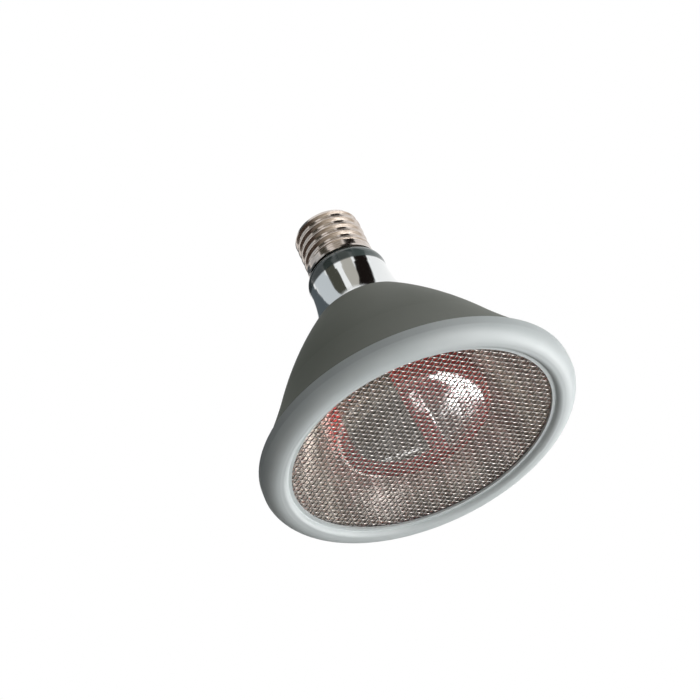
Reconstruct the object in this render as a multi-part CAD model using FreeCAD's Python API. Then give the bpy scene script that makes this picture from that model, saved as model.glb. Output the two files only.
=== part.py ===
import FreeCAD, Part
import math
import os

# Infrared heat lamp bulb: a red glass lamp on a screw base, held in a grey metal housing with a
# meshed front. Millimetres. The origin is the middle of the front ring's rest face, +Z runs along the
# lamp's axis to the base. Almost every piece is turned about that axis, so a profile is written as
# (radius, height) and its curves are arcs given by their ends and their bow.

V = FreeCAD.Vector

# Front ring
RIM_R = 60.5
RIM_WALL = 0.9
RIM_ROUND_WIDTH = 5.6
RIM_ROUND_BOW = 1.24
RIM_ROUND_OVER_MESH = 1.5
RIM_SKIRT_OVER_CLAMP = 3.7
REST_WIDTH = 1.2
LIP_WIDTH = 2.0
LIP_WALL_HEIGHT = 1.2
LIP_BOW = 0.35
COVE_BOW = 0.09
LEDGE_COVE = 0.4
LEDGE_WIDTH = 1.2

# Mesh and the ring that clamps it
MESH_INSET = 4.0
MESH_THICKNESS = 0.5
MESH_PITCH = 8.5
MESH_WIRE = 1.2
MESH_FIELD_LAP = 0.4
CLAMP_LAP = 0.6
CLAMP_THICKNESS = 0.9

# Housing
HOUSING_WALL = 1.0
HOUSING_STEP_INSET = 0.9
HOUSING_WAIST_AIR = 15.8
HOUSING_WAIST_RISE = 20.2
HOUSING_FLARE_BOW = -0.3
HOUSING_DEPTH = 53.6
HOUSING_DOME_BOW = 1.3
TOP_EDGE_COS = 0.8
SEAM_GAP = 0.4
SKIRT_CLEARANCE = 0.9
SPIGOT_WALL = 1.0
NECK_CLEARANCE = 0.3

# Reflector
REFLECTOR_WALL = 0.6
REFLECTOR_LAP = 2.4
REFLECTOR_FLANGE = 2.6
REFLECTOR_WAIST_GAP = 2.2
REFLECTOR_REAR_GAP = 1.6
REFLECTOR_REAR_RISE = 1.8

# Screw base, a rolled round thread 27 mm across
THREAD_CREST_R = 13.15
THREAD_DEPTH = 0.95
THREAD_PITCH = 3.629
THREAD_FILL = 0.94
SHELL_WALL = 0.45
BAND_PROUD = 0.1
BAND_WALL = 0.5
BAND_HEIGHT = 3.9
BAND_FLARE = 0.35
BAND_FLARE_HEIGHT = 1.2
BAND_BLEND = 0.3
BAND_BORE_STEP = 1.0
SHELL_LENGTH = 20.4
SHELL_TOP_TAPER = 2.0
SHELL_TOP_DROP = 0.3
SHELL_LIP_WIDTH = 2.15
SHELL_TO_GLASS = 0.15
CEMENT_FROM_STEP = 0.1
INSULATOR_FLANGE = 3.4
INSULATOR_RISE = 3.9
INSULATOR_CONE_WIDTH = 3.6
INSULATOR_CONE_FOOT = 0.6
INSULATOR_CONE_BOW = 0.25
INSULATOR_WALL = 1.6
INSULATOR_HOLLOW_R = 3.0
INSULATOR_HOLLOW_RISE = 1.4
INSULATOR_FIT = 0.05
CONTACT_EDGE = 1.4
CONTACT_THICKNESS = 0.5
CONTACT_ROUND = 0.6
CONTACT_ROUND_SHARE = 0.6
CONTACT_SHANK_R = 1.5
CONTACT_SHANK = 3.0
CONTACT_BORE_R = 0.6
SOLDER_R = 2.1
SOLDER_HEIGHT = 0.7

# Glass lamp, from the front to the base
GLASS_WALL = 1.1
DOME_GAP = 1.0
DOME_RISE = 2.9
CORNER_WIDTH = 4.8
CORNER_RISE = 6.2
CORNER_BOW = 1.4
BODY_TAPER = 3.3
BODY_MID_RISE = 18.5
BODY_BOW = 0.55
BODY_REAR_TAPER = 3.3
BODY_REAR_BELOW_TOP = 13.6
BODY_REAR_BOW = 0.1
FOOT_TAPER = 3.6
FOOT_BOW = 0.3
NECK_TAPER = 4.3
NECK_OVER_BAND = 2.45
NECK_FLARE_RISE = 16.4
NECK_FLARE_BOW = -0.8
NECK_STRAIGHT = 4.0
NECK_STRAIGHT_TAPER = 0.1
SHOULDER_RISE = 5.9
SHOULDER_BOW = 1.15
COLLAR_IN_SHELL = 0.35
COLLAR_STEP = 0.5
COLLAR_ROUND = 0.8
COLLAR_BELOW_SHELL_TOP = 11.45

# Silver film on the inside of the glass
FILM = 0.12
FILM_FRONT_RISE = 12.5
FILM_NECK_LEFT_CLEAR = 1.6

# Bead that bonds the glass to the housing
BEAD_BELOW_EDGE = 0.8
BEAD_HEIGHT = 3.4

# Stem, wires and filament
FLARE_TUBE_R = 5.2
FLARE_TUBE_WALL = 1.0
FLARE_WALL = 1.2
FLARE_ROUND_IN = 1.6
FLARE_ROUND_OUT = 1.2
PRESS_WIDTH = 11.0
PRESS_DEPTH = 4.2
PRESS_LENGTH = 8.0
PRESS_ROOT = 1.5
PRESS_TOP_BELOW_COLLAR = 20.0
EXHAUST_R = 1.9
EXHAUST_WALL = 0.7
EXHAUST_TIP = 5.5
ARBOR_R = 1.3
ARBOR_LENGTH = 16.0
BUTTON_R = 2.8
BUTTON_HEIGHT = 3.4
INNER_LEAD_R = 0.4
INNER_LEAD_OFFSET = 3.4
INNER_LEAD_BEND = 2.0
INNER_LEAD_BELOW_SHIELD = 4.0
INNER_LEAD_OVER_FILAMENT = 6.0
OUTER_LEAD_R = 0.25
OUTER_LEAD_OFFSET = 3.0
OUTER_LEAD_OVER_TIP = 1.5
OUTER_LEAD_OVER_FLARE = 1.2
OUTER_LEAD_BEND = 0.6
WELD_FIT = 0.02
FILAMENT_RING_R = 13.0
FILAMENT_COIL_R = 0.9
FILAMENT_HEIGHT = 33.0
FILAMENT_OPENING = 50.0
SUPPORT_R = 0.25
SUPPORT_BEND = 1.2
SUPPORT_DROP = 2.2
SUPPORT_EYE_CLEARANCE = 0.12
SUPPORT_COUNT = 3
WIRE_CLEARANCE = 0.04
SHIELD_TO_NECK = 1.9
SHIELD_THICKNESS = 0.4
SHIELD_BELOW_PRESS = 2.0

# Radii that follow, inwards from the ring and outwards from the screw base
REST_OUTER_R = RIM_R - RIM_ROUND_WIDTH
REST_INNER_R = REST_OUTER_R - REST_WIDTH
LIP_WALL_R = REST_INNER_R - LIP_WIDTH
LEDGE_HOLE_R = LIP_WALL_R - LEDGE_COVE - LEDGE_WIDTH
MESH_R = RIM_R - MESH_INSET
MESH_FIELD_R = LEDGE_HOLE_R + MESH_FIELD_LAP
CLAMP_HOLE_R = LEDGE_HOLE_R + CLAMP_LAP
SPIGOT_R = RIM_R - RIM_WALL - SKIRT_CLEARANCE
HOUSING_STEP_R = RIM_R - HOUSING_STEP_INSET
THREAD_ROOT_R = THREAD_CREST_R - THREAD_DEPTH
SHELL_BORE_R = THREAD_ROOT_R - SHELL_WALL
SHELL_LIP_HOLE_R = SHELL_BORE_R - SHELL_LIP_WIDTH
BAND_R = THREAD_CREST_R + BAND_PROUD
BAND_BORE_R = BAND_R - BAND_WALL
INSULATOR_TOP_R = SHELL_LIP_HOLE_R - INSULATOR_CONE_WIDTH
CONTACT_R = INSULATOR_TOP_R - CONTACT_EDGE
COLLAR_R = SHELL_BORE_R - COLLAR_IN_SHELL
NECK_R = BAND_R + NECK_OVER_BAND
SHOULDER_R = NECK_R - NECK_STRAIGHT_TAPER
NECK_FOOT_R = NECK_R + NECK_TAPER
BODY_REAR_R = NECK_FOOT_R + FOOT_TAPER
BODY_MID_R = BODY_REAR_R + BODY_REAR_TAPER
BODY_R = BODY_MID_R + BODY_TAPER
HOUSING_WAIST_R = BODY_R + HOUSING_WAIST_AIR
DOME_R = BODY_R - CORNER_WIDTH
SHIELD_R = NECK_R - SHIELD_TO_NECK

# Heights that follow
LEDGE_Z = LIP_WALL_HEIGHT + LEDGE_COVE
MESH_Z = LEDGE_Z + RIM_WALL
CLAMP_Z = MESH_Z + MESH_THICKNESS
RIM_ROUND_HEIGHT = CLAMP_Z + RIM_ROUND_OVER_MESH
SPIGOT_Z = CLAMP_Z + CLAMP_THICKNESS
RIM_HEIGHT = SPIGOT_Z + RIM_SKIRT_OVER_CLAMP
SEAM_Z = RIM_HEIGHT + SEAM_GAP
WAIST_Z = SEAM_Z + HOUSING_WAIST_RISE
HOUSING_TOP_Z = SEAM_Z + HOUSING_DEPTH
REFLECTOR_Z = SPIGOT_Z + REFLECTOR_WALL
POLE_Z = CLAMP_Z + DOME_GAP
CORNER_Z = POLE_Z + DOME_RISE
BODY_Z = CORNER_Z + CORNER_RISE
BODY_MID_Z = BODY_Z + BODY_MID_RISE
BODY_REAR_Z = HOUSING_TOP_Z - BODY_REAR_BELOW_TOP
NECK_Z = HOUSING_TOP_Z + NECK_FLARE_RISE
SHOULDER_Z = NECK_Z + NECK_STRAIGHT
COLLAR_Z = SHOULDER_Z + SHOULDER_RISE
SHELL_Z = COLLAR_Z + SHELL_TO_GLASS
BAND_TOP_Z = SHELL_Z + BAND_HEIGHT
SHELL_TOP_Z = SHELL_Z + SHELL_LENGTH
COLLAR_TOP_Z = SHELL_TOP_Z - COLLAR_BELOW_SHELL_TOP
PRESS_TOP_Z = COLLAR_TOP_Z - PRESS_TOP_BELOW_COLLAR
PRESS_Z = PRESS_TOP_Z - PRESS_LENGTH
ARBOR_Z = PRESS_Z - ARBOR_LENGTH
SHIELD_Z = PRESS_Z - SHIELD_BELOW_PRESS - SHIELD_THICKNESS
INSULATOR_TOP_Z = SHELL_TOP_Z + INSULATOR_RISE
CONTACT_TOP_Z = INSULATOR_TOP_Z + CONTACT_THICKNESS


def unit(a, b):
    """Direction from a to b in the (radius, height) plane."""
    length = math.hypot(b[0] - a[0], b[1] - a[1])
    return ((b[0] - a[0]) / length, (b[1] - a[1]) / length)


def bow(a, b, sag):
    """Arc from a to b whose middle stands sag to the right of the way from a to b."""
    t = unit(a, b)
    mid = ((a[0] + b[0]) / 2 + t[1] * sag, (a[1] + b[1]) / 2 - t[0] * sag)
    return mid + tuple(b)


def cap(pole, edge):
    """Arc from a pole on the axis to an edge, part of a ball centred on the axis."""
    rise = edge[1] - pole[1]
    chord = math.hypot(edge[0], rise)
    radius = chord**2 / (2 * rise)
    return bow(pole, edge, radius - math.sqrt(radius**2 - (chord / 2) ** 2))


def centre(a, b, c):
    """Centre of the circle through three points."""
    d = 2 * (a[0] * (b[1] - c[1]) + b[0] * (c[1] - a[1]) + c[0] * (a[1] - b[1]))
    sa, sb, sc = (p[0] ** 2 + p[1] ** 2 for p in (a, b, c))
    return (
        (sa * (b[1] - c[1]) + sb * (c[1] - a[1]) + sc * (a[1] - b[1])) / d,
        (sa * (c[0] - b[0]) + sb * (a[0] - c[0]) + sc * (b[0] - a[0])) / d,
    )


def headings(start, step):
    """Directions of travel at the start, middle and end of a line or arc."""
    if len(step) == 2:
        t = unit(start, step)
        return t, t, t
    mid, end = step[:2], step[2:]
    c = centre(start, mid, end)
    turn = (mid[0] - start[0]) * (end[1] - mid[1]) - (mid[1] - start[1]) * (end[0] - mid[0])
    sign = math.copysign(1.0, turn)

    def heading(p):
        n = unit(c, p)
        return (-n[1] * sign, n[0] * sign)

    return heading(start), heading(mid), heading(end)


def moved(p, heading, distance):
    """Point moved to the left of the heading."""
    return (p[0] - heading[1] * distance, p[1] + heading[0] * distance)


def joint_point(p, before, after, distance):
    """Corner point moved so that both neighbours keep the same distance."""
    t = (before[0] + after[0], before[1] + after[1])
    size = math.hypot(*t)
    t = (t[0] / size, t[1] / size)
    return moved(p, t, distance / max(0.3, t[0] * before[0] + t[1] * before[1]))


def beside(path, distance):
    """The same path at an even distance to its left."""
    turns = []
    at = path[0]
    for step in path[1:]:
        turns.append(headings(at, step))
        at = step[-2:]
    out = [moved(path[0], turns[0][0], distance)]
    for i, step in enumerate(path[1:]):
        end = step[-2:]
        if i + 1 < len(turns):
            new_end = joint_point(end, turns[i][2], turns[i + 1][0], distance)
        else:
            new_end = moved(end, turns[i][2], distance)
        if len(step) == 2:
            out.append(new_end)
        else:
            out.append(moved(step[:2], turns[i][1], distance) + tuple(new_end))
    return out


def backwards(path):
    """The same path from its end to its start."""
    ends = [path[0]] + [step[-2:] for step in path[1:]]
    out = [tuple(ends[-1])]
    for i in range(len(path) - 1, 0, -1):
        step = path[i]
        out.append(tuple(ends[i - 1]) if len(step) == 2 else tuple(step[:2]) + tuple(ends[i - 1]))
    return out


def turned(path):
    """Solid of revolution of a closed path about the lamp's axis."""
    edges = []
    at = path[0]
    for step in list(path[1:]) + [path[0]]:
        end = step[-2:]
        a, b = V(at[0], 0, at[1]), V(end[0], 0, end[1])
        if a.distanceToPoint(b) > 1e-7:
            if len(step) == 2:
                edges.append(Part.makeLine(a, b))
            else:
                edges.append(Part.Arc(a, V(step[0], 0, step[1]), b).toShape())
        at = end
    return Part.Face(Part.Wire(edges)).revolve(V(0, 0, 0), V(0, 0, 1), 360)


def sheet(path, wall):
    """Sheet metal or glass of an even wall to the left of a path."""
    return turned(list(path) + backwards(beside(path, wall)))


def tube(r_outer, r_inner, z, height):
    """Plain ring or sleeve."""
    body = Part.makeCylinder(r_outer, height, V(0, 0, z))
    return body.cut(Part.makeCylinder(r_inner, height, V(0, 0, z))) if r_inner > 0 else body


def bent_wire(points, radius, bend):
    """Round wire along straight runs joined by tangent arcs."""
    edges = []
    at = points[0]
    for i in range(1, len(points) - 1):
        p, q, r = points[i - 1], points[i], points[i + 1]
        a, b = (p - q).normalize(), (r - q).normalize()
        half = math.acos(max(-1.0, min(1.0, a.dot(b)))) / 2
        cut = bend / math.tan(half)
        start, end = q + a * cut, q + b * cut
        middle = q + (a + b).normalize() * (bend / math.sin(half) - bend)
        edges += [Part.makeLine(at, start), Part.Arc(start, middle, end).toShape()]
        at = end
    edges.append(Part.makeLine(at, points[-1]))
    ring = Part.Wire(Part.makeCircle(radius, points[0], points[1] - points[0]))
    return Part.Wire(edges).makePipeShell([ring], True, False)


def ring_at(angle_deg, radius, z):
    """Point on a circle about the axis."""
    a = math.radians(angle_deg)
    return V(radius * math.cos(a), radius * math.sin(a), z)


# The glass outline from the front pole to the collar, used by the glass, the film and the bonding bead
DOME = (DOME_R, CORNER_Z)
BODY = (BODY_R, BODY_Z)
BODY_MID = (BODY_MID_R, BODY_MID_Z)
BODY_REAR = (BODY_REAR_R, BODY_REAR_Z)
NECK_FOOT = (NECK_FOOT_R, HOUSING_TOP_Z - HOUSING_WALL)
NECK = (NECK_R, NECK_Z)
SHOULDER = (SHOULDER_R, SHOULDER_Z)
COLLAR_FOOT = (COLLAR_R + COLLAR_ROUND, COLLAR_Z)


def housing_outer():
    """Outer line of the housing from its step to its top edge."""
    step = (HOUSING_STEP_R, SEAM_Z)
    waist = (HOUSING_WAIST_R, WAIST_Z)
    top = (NECK_FOOT_R + NECK_CLEARANCE + HOUSING_WALL * TOP_EDGE_COS, HOUSING_TOP_Z)
    return [step, bow(step, waist, HOUSING_FLARE_BOW), bow(waist, top, HOUSING_DOME_BOW)]


def glass_outer():
    """Outer line of the glass from the front pole to the end of the collar."""
    pole = (0.0, POLE_Z)
    return [
        pole,
        cap(pole, DOME),
        bow(DOME, BODY, CORNER_BOW),
        bow(BODY, BODY_MID, BODY_BOW),
        bow(BODY_MID, BODY_REAR, BODY_REAR_BOW),
        bow(BODY_REAR, NECK_FOOT, FOOT_BOW),
        bow(NECK_FOOT, NECK, NECK_FLARE_BOW),
        SHOULDER,
        bow(SHOULDER, COLLAR_FOOT, SHOULDER_BOW),
        (COLLAR_R, COLLAR_Z + COLLAR_STEP),
        (COLLAR_R, COLLAR_TOP_Z),
    ]


def filled(path):
    """Everything between a path and the axis."""
    first, last = path[0], path[-1][-2:]
    return turned(list(path) + [(0.0, last[1]), (0.0, first[1])])


def make_front_rim():
    """Pressed ring: skirt, round front, rest face, lip, recess wall and ledge."""
    skirt = (RIM_R, RIM_HEIGHT)
    shoulder = (RIM_R, RIM_ROUND_HEIGHT)
    rest_outer = (REST_OUTER_R, 0.0)
    rest_inner = (REST_INNER_R, 0.0)
    wall = (LIP_WALL_R, LIP_WALL_HEIGHT)
    cove = (LIP_WALL_R - LEDGE_COVE, LEDGE_Z)
    path = [
        skirt,
        shoulder,
        bow(shoulder, rest_outer, -RIM_ROUND_BOW),
        rest_inner,
        bow(rest_inner, wall, -LIP_BOW),
        bow(wall, cove, COVE_BOW),
        (LEDGE_HOLE_R, LEDGE_Z),
    ]
    return sheet(path, -RIM_WALL)


def make_mesh_guard():
    """Mesh disc with square openings in straight rows, as wire cloth has."""
    disc = Part.makeCylinder(MESH_R, MESH_THICKNESS, V(0, 0, MESH_Z))
    side = MESH_PITCH - MESH_WIRE
    reach = MESH_FIELD_R - side / math.sqrt(2)
    rows = int(MESH_FIELD_R / MESH_PITCH) + 1
    holes = []
    for row in range(-rows, rows + 1):
        for col in range(-rows, rows + 1):
            x, y = col * MESH_PITCH, row * MESH_PITCH
            if math.hypot(x, y) <= reach:
                corner = V(x - side / 2, y - side / 2, MESH_Z)
                holes.append(Part.makeBox(side, side, MESH_THICKNESS, corner))
    print("mesh openings", len(holes))
    return disc.cut(Part.makeCompound(holes))


def make_mesh_clamp_ring():
    """Flat ring behind the mesh, pressed forward by the housing's spigot."""
    return tube(SPIGOT_R, CLAMP_HOLE_R, CLAMP_Z, CLAMP_THICKNESS)


def housing_inner():
    """Inner line of the housing's dome, from the spigot's bore to the top edge."""
    outer = housing_outer()
    inner = beside(outer, HOUSING_WALL)
    bore = SPIGOT_R - SPIGOT_WALL
    lean = HOUSING_WAIST_RISE / (HOUSING_STEP_R - HOUSING_WAIST_R)
    start = (bore, SEAM_Z + (inner[0][0] - bore) * lean - (SEAM_Z - inner[0][1]))
    waist = inner[1][-2:]
    return [start, bow(start, waist, HOUSING_FLARE_BOW), inner[2]]


def make_housing():
    """Spun dome with a step that meets the ring's skirt and a spigot inside it."""
    inner = housing_inner()
    body = filled([(SPIGOT_R, SPIGOT_Z), (SPIGOT_R, SEAM_Z)] + housing_outer())
    bore = SPIGOT_R - SPIGOT_WALL
    top = inner[-1][-2:]
    hollow = filled([(bore, SPIGOT_Z)] + inner + [(top[0], HOUSING_TOP_Z)])
    return body.cut(hollow)


def make_reflector():
    """Polished bowl with a flange that lies on the clamp ring."""
    front_r = CLAMP_HOLE_R + REFLECTOR_LAP
    waist_r = HOUSING_WAIST_R - HOUSING_WALL - REFLECTOR_WAIST_GAP - REFLECTOR_WALL
    rear = (BODY_REAR_R + REFLECTOR_REAR_GAP, BODY_REAR_Z + REFLECTOR_REAR_RISE)
    bowl = [(front_r, REFLECTOR_Z), (waist_r, WAIST_Z) + rear]
    outer = beside(bowl, -REFLECTOR_WALL)
    wall = turned([(front_r, SPIGOT_Z)] + bowl + backwards(outer) + [(outer[0][0], SPIGOT_Z)])
    return wall.fuse(tube(front_r + REFLECTOR_FLANGE, front_r, SPIGOT_Z, REFLECTOR_WALL))


def make_glass():
    """Blown glass in one piece, open at the collar."""
    outer = glass_outer()
    inner = beside(outer, GLASS_WALL)
    inner[0] = (0.0, POLE_Z + GLASS_WALL)
    inner[1] = cap(inner[0], inner[1][-2:])
    return turned(outer + backwards(inner))


def make_film():
    """Silver film on the inside of the rear body and the neck."""
    lines = beside(glass_outer(), GLASS_WALL)
    low = BODY_MID_Z - FILM_FRONT_RISE
    high = SHOULDER_Z - FILM_NECK_LEFT_CLEAR
    layer = sheet([lines[2][-2:]] + lines[3:8], FILM)
    band = tube(BODY_R + 1, 0, low, high - low)
    return layer.common(band)


def make_stem():
    """Flare, stem tube, press, exhaust tube, arbor and button, all one piece of glass."""
    rim_z = COLLAR_TOP_Z
    cone = [
        (COLLAR_R, rim_z),
        (COLLAR_R, rim_z + FLARE_WALL),
        (FLARE_TUBE_R - FLARE_TUBE_WALL + FLARE_ROUND_IN, rim_z + FLARE_WALL),
        (FLARE_TUBE_R - FLARE_TUBE_WALL, rim_z + FLARE_WALL - FLARE_ROUND_IN),
        (FLARE_TUBE_R - FLARE_TUBE_WALL, PRESS_TOP_Z),
        (FLARE_TUBE_R, PRESS_TOP_Z),
        (FLARE_TUBE_R, rim_z - FLARE_ROUND_OUT),
        (FLARE_TUBE_R + FLARE_ROUND_OUT, rim_z),
    ]
    flare = turned(cone)
    press = Part.makeBox(
        PRESS_DEPTH, PRESS_WIDTH, PRESS_LENGTH, V(-PRESS_DEPTH / 2, -PRESS_WIDTH / 2, PRESS_Z)
    )
    upright = [e for e in press.Edges if abs(e.Vertexes[0].Z - e.Vertexes[1].Z) > PRESS_LENGTH / 2]
    press = press.makeFillet(PRESS_DEPTH * 0.35, upright)
    root = Part.makeCylinder(FLARE_TUBE_R, PRESS_ROOT, V(0, 0, PRESS_TOP_Z - PRESS_ROOT))
    exhaust = tube(EXHAUST_R, EXHAUST_R - EXHAUST_WALL, PRESS_TOP_Z, COLLAR_TOP_Z + EXHAUST_TIP - PRESS_TOP_Z)
    tip = Part.makeSphere(EXHAUST_R, V(0, 0, COLLAR_TOP_Z + EXHAUST_TIP))
    arbor = Part.makeCylinder(ARBOR_R, ARBOR_LENGTH, V(0, 0, ARBOR_Z))
    button = Part.makeCylinder(BUTTON_R, BUTTON_HEIGHT, V(0, 0, ARBOR_Z - BUTTON_HEIGHT))
    button = button.makeFillet(BUTTON_HEIGHT * 0.3, [e for e in button.Edges if len(e.Vertexes) == 1])
    return flare.fuse([press, root, exhaust, tip, arbor, button]).removeSplitter()


def filament_end(side):
    """Angle and place of one end of the filament, side +1 or -1."""
    angle = side * FILAMENT_OPENING / 2
    return angle, ring_at(angle, FILAMENT_RING_R, FILAMENT_HEIGHT)


def make_filament():
    """Outer form of the coiled filament, an open ring."""
    start = -FILAMENT_OPENING / 2
    circle = Part.makeCircle(FILAMENT_COIL_R, V(FILAMENT_RING_R, 0, FILAMENT_HEIGHT), V(0, 1, 0))
    arc = Part.Face(Part.Wire(circle)).revolve(V(0, 0, 0), V(0, 0, 1), 360 - FILAMENT_OPENING)
    arc.rotate(V(0, 0, 0), V(0, 0, 1), -start)
    return arc


def make_inner_lead(side):
    """Stiff wire from the press past the end face of the filament."""
    angle, end = filament_end(side)
    along = V(math.sin(math.radians(angle)), -math.cos(math.radians(angle)), 0) * side
    foot = end + along * (INNER_LEAD_R + WIRE_CLEARANCE)
    top = V(0, side * INNER_LEAD_OFFSET, PRESS_Z + PRESS_LENGTH * 0.5)
    bend_at = V(0, side * INNER_LEAD_OFFSET, SHIELD_Z - INNER_LEAD_BELOW_SHIELD)
    low = V(foot.x, foot.y, FILAMENT_HEIGHT + INNER_LEAD_OVER_FILAMENT)
    tip = V(foot.x, foot.y, FILAMENT_HEIGHT - FILAMENT_COIL_R)
    return bent_wire([top, bend_at, low, tip], INNER_LEAD_R, INNER_LEAD_BEND)


def make_support(angle_deg):
    """Support wire from the button to an eye round the filament."""
    eye_r = FILAMENT_COIL_R + SUPPORT_EYE_CLEARANCE + SUPPORT_R
    root = ring_at(angle_deg, BUTTON_R * 0.4, ARBOR_Z - BUTTON_HEIGHT / 2)
    knee = ring_at(angle_deg, FILAMENT_RING_R, ARBOR_Z - BUTTON_HEIGHT / 2 - SUPPORT_DROP)
    end = ring_at(angle_deg, FILAMENT_RING_R, FILAMENT_HEIGHT + eye_r)
    arm = bent_wire([root, knee, end], SUPPORT_R, SUPPORT_BEND)
    side = ring_at(angle_deg + 90, 1, 0)
    eye = Part.makeTorus(eye_r, SUPPORT_R, ring_at(angle_deg, FILAMENT_RING_R, FILAMENT_HEIGHT), side)
    return arm.fuse(eye)


def make_outer_lead(side):
    """Thin wire from the press up the stem tube, to the contact or to the shell."""
    x = side * OUTER_LEAD_OFFSET
    start = V(x, 0, PRESS_TOP_Z)
    if side > 0:
        turn_z = COLLAR_TOP_Z + EXHAUST_TIP + EXHAUST_R + OUTER_LEAD_OVER_TIP
        route = [start, V(x, 0, turn_z), V(0, 0, turn_z + OUTER_LEAD_OVER_TIP), V(0, 0, CONTACT_TOP_Z)]
    else:
        turn_z = COLLAR_TOP_Z + FLARE_WALL + OUTER_LEAD_OVER_FLARE
        route = [start, V(x, 0, turn_z), V(-(SHELL_BORE_R - WELD_FIT), 0, turn_z)]
    return bent_wire(route, OUTER_LEAD_R, OUTER_LEAD_BEND)


def make_heat_shield():
    """Thin disc threaded on the arbor and the inner leads."""
    return tube(SHIELD_R, ARBOR_R + WIRE_CLEARANCE, SHIELD_Z, SHIELD_THICKNESS)


def make_bonding_ring():
    """Heat-proof bead in the wedge between glass and housing, just below the top edge."""
    low = HOUSING_TOP_Z - HOUSING_WALL - BEAD_BELOW_EDGE - BEAD_HEIGHT
    block = tube(BODY_R, 0, low, BEAD_HEIGHT)
    inner = housing_inner()
    top = inner[-1][-2:]
    hollow = filled([(SPIGOT_R - SPIGOT_WALL, SPIGOT_Z)] + inner + [(top[0], HOUSING_TOP_Z)])
    return block.common(hollow).cut(filled(glass_outer()))


def make_screw_shell():
    """Thin shell with a rolled round thread over a smooth band with a flared edge."""
    start_z = SHELL_Z + BAND_HEIGHT / 2
    spare = 4 * THREAD_PITCH
    helix = Part.makeHelix(THREAD_PITCH, SHELL_TOP_Z - start_z + THREAD_PITCH, THREAD_CREST_R)
    half = THREAD_PITCH * THREAD_FILL / 2
    flank_r = THREAD_ROOT_R + THREAD_DEPTH / 2
    dip_r = THREAD_ROOT_R - SHELL_WALL / 3
    wave_points = [
        V(dip_r, 0, -half),
        V(flank_r, 0, -half / 2),
        V(THREAD_CREST_R, 0, 0),
        V(flank_r, 0, half / 2),
        V(dip_r, 0, half),
    ]
    wave = Part.BSplineCurve()
    wave.interpolate(Points=wave_points)
    low_r = THREAD_ROOT_R - SHELL_WALL * 2 / 3
    low, high = V(low_r, 0, -half), V(low_r, 0, half)
    outline = Part.Wire(
        [
            Part.makeLine(low, wave_points[0]),
            wave.toShape(),
            Part.makeLine(wave_points[-1], high),
            Part.makeLine(high, low),
        ]
    )
    ridge = Part.Wire(helix.Edges).makePipeShell([outline], True, True)
    core = Part.makeCylinder(THREAD_ROOT_R, SHELL_LENGTH + 3 * spare, V(0, 0, -spare))
    threaded = core.fuse(ridge)
    threaded.translate(V(0, 0, start_z))
    taper_z = SHELL_TOP_Z - SHELL_TOP_TAPER
    clear_r = THREAD_CREST_R + THREAD_DEPTH
    limit = filled(
        [
            (clear_r, SHELL_Z),
            (clear_r, taper_z - SHELL_TOP_TAPER),
            (THREAD_ROOT_R, SHELL_TOP_Z - SHELL_TOP_DROP),
            (THREAD_ROOT_R - SHELL_TOP_DROP, SHELL_TOP_Z),
        ]
    )
    band = filled(
        [
            (BAND_R + BAND_FLARE, SHELL_Z),
            (BAND_R, SHELL_Z + BAND_FLARE_HEIGHT),
            (BAND_R, BAND_TOP_Z - BAND_BLEND),
            (THREAD_ROOT_R, BAND_TOP_Z + BAND_BLEND),
        ]
    )
    body = threaded.common(limit).fuse(band)
    bore = filled(
        [
            (BAND_BORE_R + BAND_FLARE, SHELL_Z - SHELL_WALL),
            (BAND_BORE_R + BAND_FLARE, SHELL_Z),
            (BAND_BORE_R, SHELL_Z + BAND_FLARE_HEIGHT),
            (BAND_BORE_R, BAND_TOP_Z - BAND_BORE_STEP),
            (SHELL_BORE_R, BAND_TOP_Z),
            (SHELL_BORE_R, SHELL_TOP_Z - SHELL_WALL),
            (SHELL_LIP_HOLE_R, SHELL_TOP_Z - SHELL_WALL),
            (SHELL_LIP_HOLE_R, SHELL_TOP_Z + SHELL_WALL),
        ]
    )
    return body.cut(bore)


def make_cement():
    """Basing cement between the shell's band and the glass collar."""
    z = SHELL_Z + BAND_FLARE_HEIGHT
    top = BAND_TOP_Z - BAND_BORE_STEP - CEMENT_FROM_STEP
    return tube(BAND_BORE_R, COLLAR_R, z, top - z)


def make_insulator():
    """Black glass plug held under the shell's lip, with a cone up to the contact."""
    seat = SHELL_TOP_Z - SHELL_WALL
    top_r = SHELL_LIP_HOLE_R - INSULATOR_FIT
    cone_foot = (top_r, SHELL_TOP_Z + INSULATOR_CONE_FOOT)
    cone_top = (INSULATOR_TOP_R, INSULATOR_TOP_Z)
    body = filled(
        [
            (SHELL_BORE_R - INSULATOR_FIT, seat - INSULATOR_FLANGE),
            (SHELL_BORE_R - INSULATOR_FIT, seat),
            (top_r, seat),
            cone_foot,
            bow(cone_foot, cone_top, -INSULATOR_CONE_BOW),
        ]
    )
    hollow = filled(
        [
            (SHELL_BORE_R - INSULATOR_WALL, seat - INSULATOR_FLANGE),
            (top_r - INSULATOR_WALL, seat),
            (INSULATOR_HOLLOW_R, seat + INSULATOR_HOLLOW_RISE),
        ]
    )
    shank = Part.makeCylinder(CONTACT_SHANK_R, INSULATOR_RISE + INSULATOR_FLANGE, V(0, 0, seat))
    return body.cut(hollow).cut(shank)


def make_contact():
    """Eyelet: flat head on the insulator and a short shank through it."""
    head = filled(
        [
            (CONTACT_R, INSULATOR_TOP_Z),
            (CONTACT_R, CONTACT_TOP_Z - CONTACT_THICKNESS * CONTACT_ROUND_SHARE),
            (CONTACT_R - CONTACT_ROUND, CONTACT_TOP_Z),
        ]
    )
    shank = Part.makeCylinder(CONTACT_SHANK_R, CONTACT_SHANK, V(0, 0, INSULATOR_TOP_Z - CONTACT_SHANK))
    length = CONTACT_SHANK + CONTACT_THICKNESS
    bore = Part.makeCylinder(CONTACT_BORE_R, length, V(0, 0, INSULATOR_TOP_Z - CONTACT_SHANK))
    return head.fuse(shank).cut(bore)


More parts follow.
